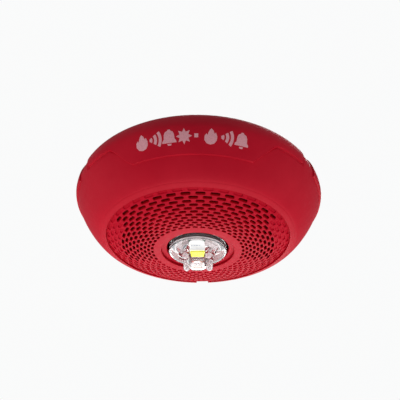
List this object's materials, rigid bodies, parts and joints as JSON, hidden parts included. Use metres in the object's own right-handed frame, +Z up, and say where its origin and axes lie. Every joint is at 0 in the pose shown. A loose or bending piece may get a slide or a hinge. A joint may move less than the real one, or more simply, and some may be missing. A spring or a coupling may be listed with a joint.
{
  "type": "horn strobe",
  "caption": "Round red ceiling-mounted fire alarm horn strobe with a perforated sounder grille, a clear central strobe lens and a plug-in mounting plate.",
  "frame": {"origin": "centre of the mounting plate's back face, in the plane of the ceiling", "axes": "+Z up into the ceiling, -Y towards the printed front of the housing, +X to the right of someone facing that front"},
  "size_m": [0.173, 0.173, 0.064],
  "materials": {
    "red_housing": "satin, fine moulded texture",
    "red_grille": "satin, fine moulded texture",
    "clear_lens": "clear polycarbonate",
    "black_rubber": "matte",
    "reflector_metal": "stippled metallised",
    "black_plastic": "matte",
    "white_plastic": "satin",
    "plate_plastic": "satin, moulded",
    "led_phosphor": "matte",
    "circuit_board": "solder mask",
    "ribbon_grey": "satin",
    "brass_plate": "satin",
    "gold_contact": "polished",
    "zinc_steel": "zinc plated",
    "capacitor_sleeve": "gloss sleeve",
    "screen_fabric": "black acoustic cloth",
    "ferrite": "matte",
    "wire_red": "satin insulation",
    "wire_black": "satin insulation"
  },
  "bodies": {
    "mount_base": {"mounting_plate": "plate_plastic", "mounting_hook": "plate_plastic", "terminal_block": "black_plastic", "threaded_insert": "brass_plate", "wire_clamp_1": "brass_plate", "wire_clamp_2": "brass_plate", "wire_clamp_3": "brass_plate", "wire_clamp_4": "brass_plate", "terminal_screw_1": "zinc_steel", "terminal_screw_2": "zinc_steel", "terminal_screw_3": "zinc_steel", "terminal_screw_4": "zinc_steel", "contact_leaf_1": "brass_plate", "contact_leaf_2": "brass_plate", "contact_leaf_3": "brass_plate", "contact_leaf_4": "brass_plate"},
    "device": {"bezel_shell": "red_housing", "grille_panel": "red_grille", "dust_screen": "screen_fabric", "strobe_lens": "clear_lens", "lens_gasket": "black_rubber", "reflector_disc": "reflector_metal", "reflector_pin_left": "black_plastic", "reflector_pin_right": "black_plastic", "led_board": "circuit_board", "led_holder": "white_plastic", "led_emitter": "led_phosphor", "strobe_tower": "black_plastic", "strobe_ribbon": "ribbon_grey", "ribbon_connector": "white_plastic", "sounder_cup": "black_plastic", "piezo_gasket": "black_rubber", "piezo_disc": "brass_plate", "piezo_retainer": "black_plastic", "piezo_lead_red": "wire_red", "piezo_lead_black": "wire_black", "main_circuit_board": "circuit_board", "storage_capacitor": "capacitor_sleeve", "filter_capacitor": "capacitor_sleeve", "inductor": "ferrite", "control_chip": "black_plastic", "amplifier_chip": "black_plastic", "surge_suppressor": "black_plastic", "rear_cover": "plate_plastic", "hook_bar": "red_housing", "screw_guide": "red_housing", "contact_pin_1": "gold_contact", "contact_pin_2": "gold_contact", "contact_pin_3": "gold_contact", "contact_pin_4": "gold_contact", "assembly_screw_1": "zinc_steel", "assembly_screw_2": "zinc_steel", "assembly_screw_3": "zinc_steel", "screw_post_1": "red_housing", "screw_post_2": "red_housing", "screw_post_3": "red_housing"},
    "locking_screw": {"locking_screw": "zinc_steel"},
    "candela_selector": {"candela_selector": "white_plastic"},
    "tone_selector": {"tone_selector": "black_plastic"}
  },
  "joints": [
    {"name": "device_tilt", "type": "hinge", "parent": "mount_base", "child": "device", "pos_m": [0, -0.0769, -0.0028], "axis": [-1, 0, 0], "range_deg": [0, 18]},
    {"name": "locking_screw_turn", "type": "hinge", "parent": "device", "child": "locking_screw", "pos_m": [0, 0.0662, -0.0336], "axis": [0, 0, 1], "continuous": true},
    {"name": "candela_slide", "type": "slide", "parent": "device", "child": "candela_selector", "axis": [1, 0, 0], "range_m": [0, 0.012]},
    {"name": "tone_turn", "type": "hinge", "parent": "device", "child": "tone_selector", "pos_m": [0.04, 0.03, -0.015], "axis": [0, 0, 1], "range_deg": [0, 300]}
  ]
}
